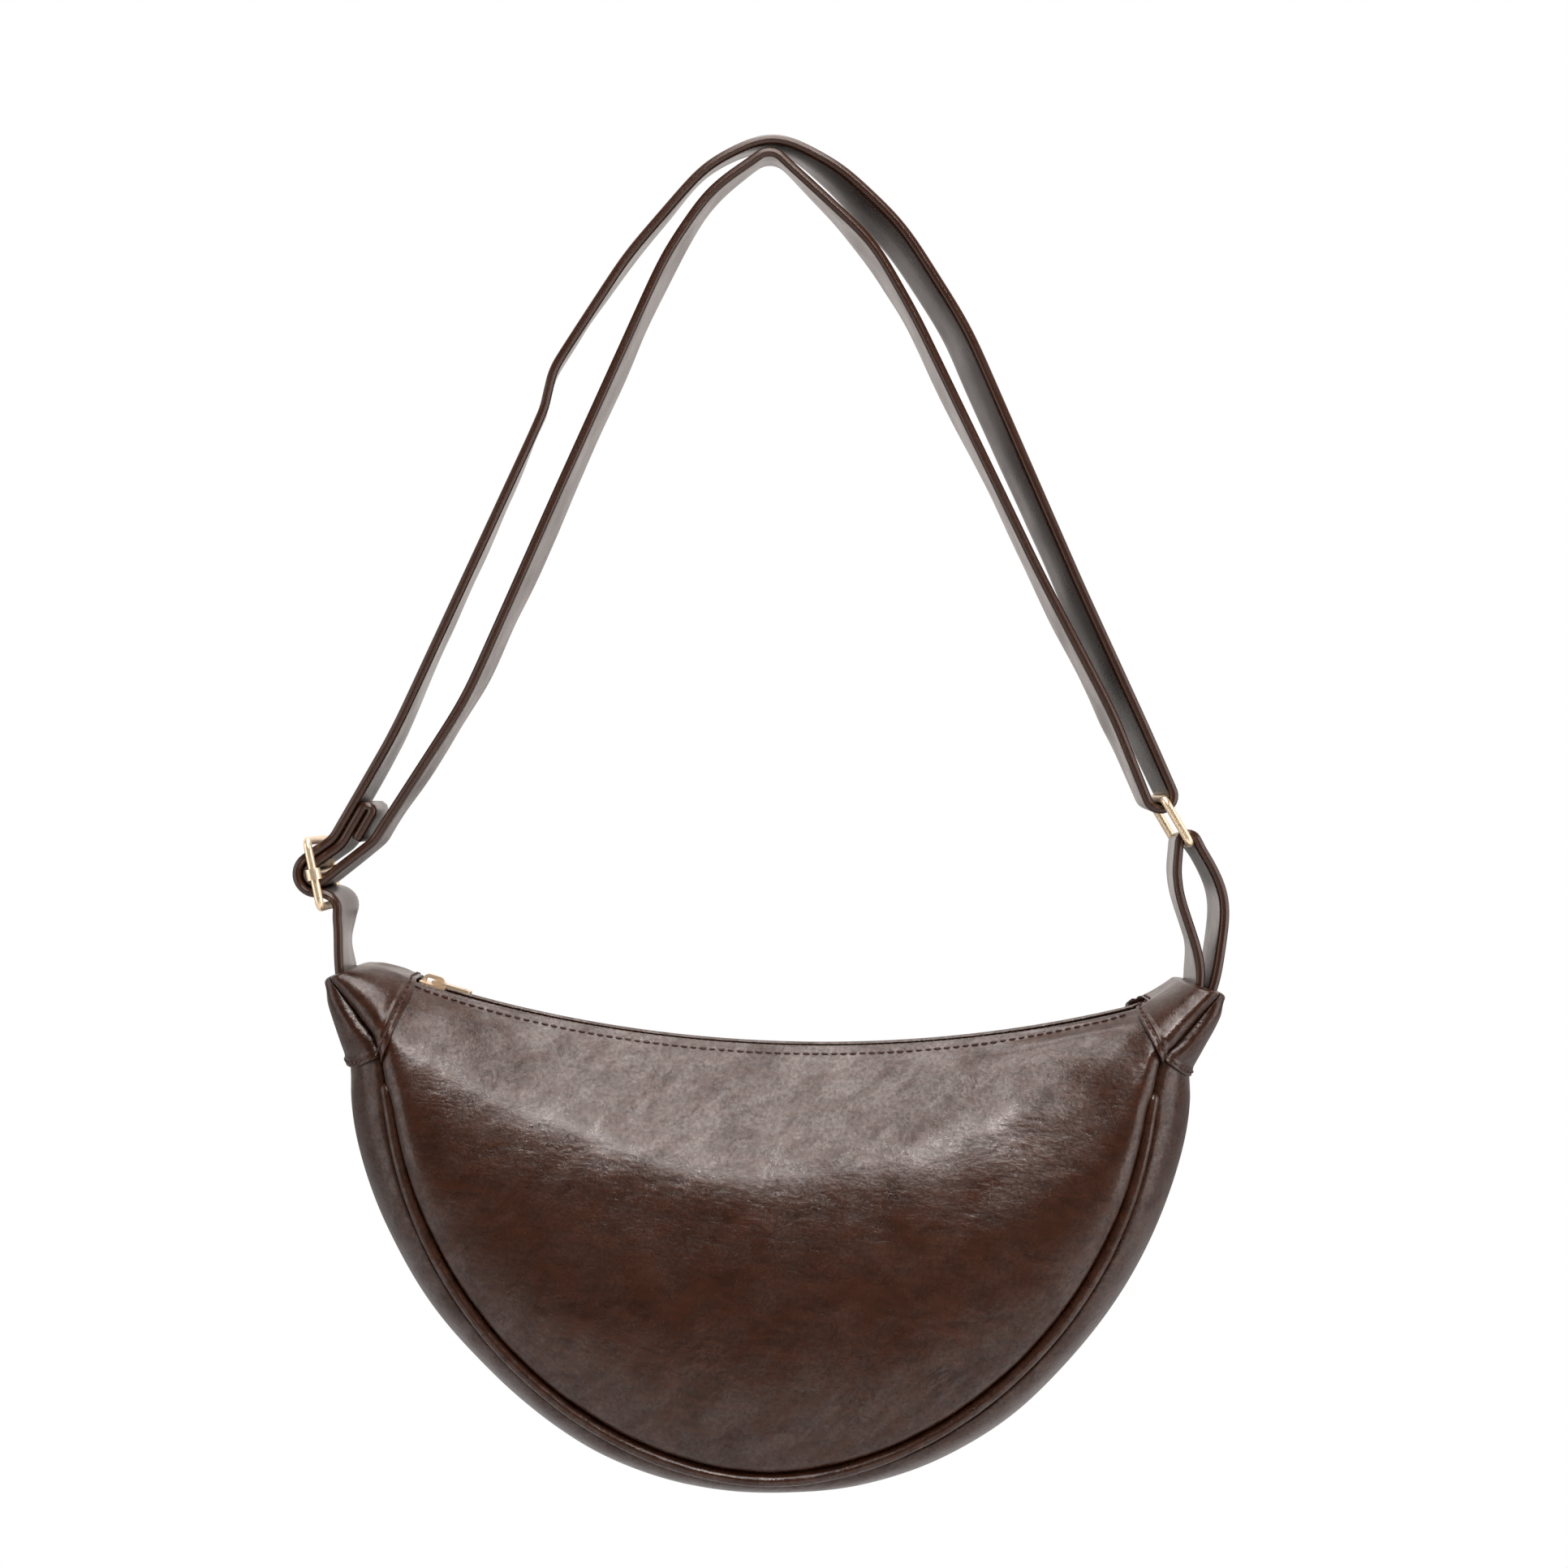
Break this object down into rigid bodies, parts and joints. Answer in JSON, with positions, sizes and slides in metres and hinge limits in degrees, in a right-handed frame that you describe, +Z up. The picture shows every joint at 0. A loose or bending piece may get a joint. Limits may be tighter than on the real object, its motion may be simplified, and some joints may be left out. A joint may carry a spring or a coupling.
{
  "type": "half moon shoulder bag",
  "caption": "Half moon shoulder bag in brown leather-look sheet with a curved top zip, piped seams, corner patches and an adjustable strap on a metal buckle and ring.",
  "frame": {"origin": "underside of the strap at the point it hangs from", "axes": "+Z up, +X to the right of the front, the front panel faces -Y"},
  "size_m": [0.341, 0.0882, 0.4971],
  "materials": {
    "leather_brown": "semi-gloss grain",
    "lining_fabric": "woven",
    "zip_tape": "woven",
    "zip_teeth": "satin",
    "gold_metal": "polished"
  },
  "bodies": {
    "strap": {"strap_outer": "leather_brown", "strap_inner": "leather_brown", "strap_ring_end": "leather_brown", "strap_anchor": "leather_brown", "ring_tab": "leather_brown"},
    "buckle": {"buckle_frame": "gold_metal", "buckle_bar": "gold_metal"},
    "ring": {"strap_ring": "gold_metal"},
    "bag": {"front_panel": "leather_brown", "back_panel": "leather_brown", "gusset": "leather_brown", "front_piping": "leather_brown", "back_piping": "leather_brown", "left_front_patch": "leather_brown", "right_front_patch": "leather_brown", "left_back_patch": "leather_brown", "right_back_patch": "leather_brown", "left_gusset_patch": "leather_brown", "right_gusset_patch": "leather_brown", "front_lining": "lining_fabric", "back_lining": "lining_fabric", "gusset_lining": "lining_fabric", "slip_pocket": "lining_fabric", "front_zip_tape": "zip_tape", "back_zip_tape": "zip_tape", "front_zip_teeth": "zip_teeth", "back_zip_teeth": "zip_teeth", "front_top_stop": "gold_metal", "back_top_stop": "gold_metal", "zip_bottom_stop": "gold_metal"},
    "zip_slider": {"zip_slider": "gold_metal"},
    "zip_pull": {"zip_pull": "gold_metal"}
  },
  "joints": [
    {"name": "bag_swing", "type": "hinge", "parent": "strap", "child": "bag", "pos_m": [0, 0, -0.30025], "axis": [1, 0, 0], "range_deg": [-90, 90], "deforming": ["strap_anchor", "ring_tab"]},
    {"name": "zip_slide", "type": "hinge", "parent": "bag", "child": "zip_slider", "pos_m": [0.02, 0, 0.1757], "axis": [0, -1, 0], "range_deg": [0, 28.9], "deforming": ["front_zip_teeth", "back_zip_teeth"]},
    {"name": "pull_flip", "type": "hinge", "parent": "zip_slider", "child": "zip_pull", "pos_m": [-0.12456, 0, -0.30138], "axis": [0, -1, 0], "range_deg": [0, 150]},
    {"name": "ring_turn", "type": "hinge", "parent": "strap", "child": "ring", "pos_m": [0.152, 0, -0.2498], "axis": [0, 1, 0], "range_deg": [-30, 30], "deforming": ["strap_ring_end"]},
    {"name": "buckle_tilt", "type": "hinge", "parent": "strap", "child": "buckle", "pos_m": [-0.1655, 0, -0.261], "axis": [0, 1, 0], "range_deg": [-5, 5]}
  ]
}
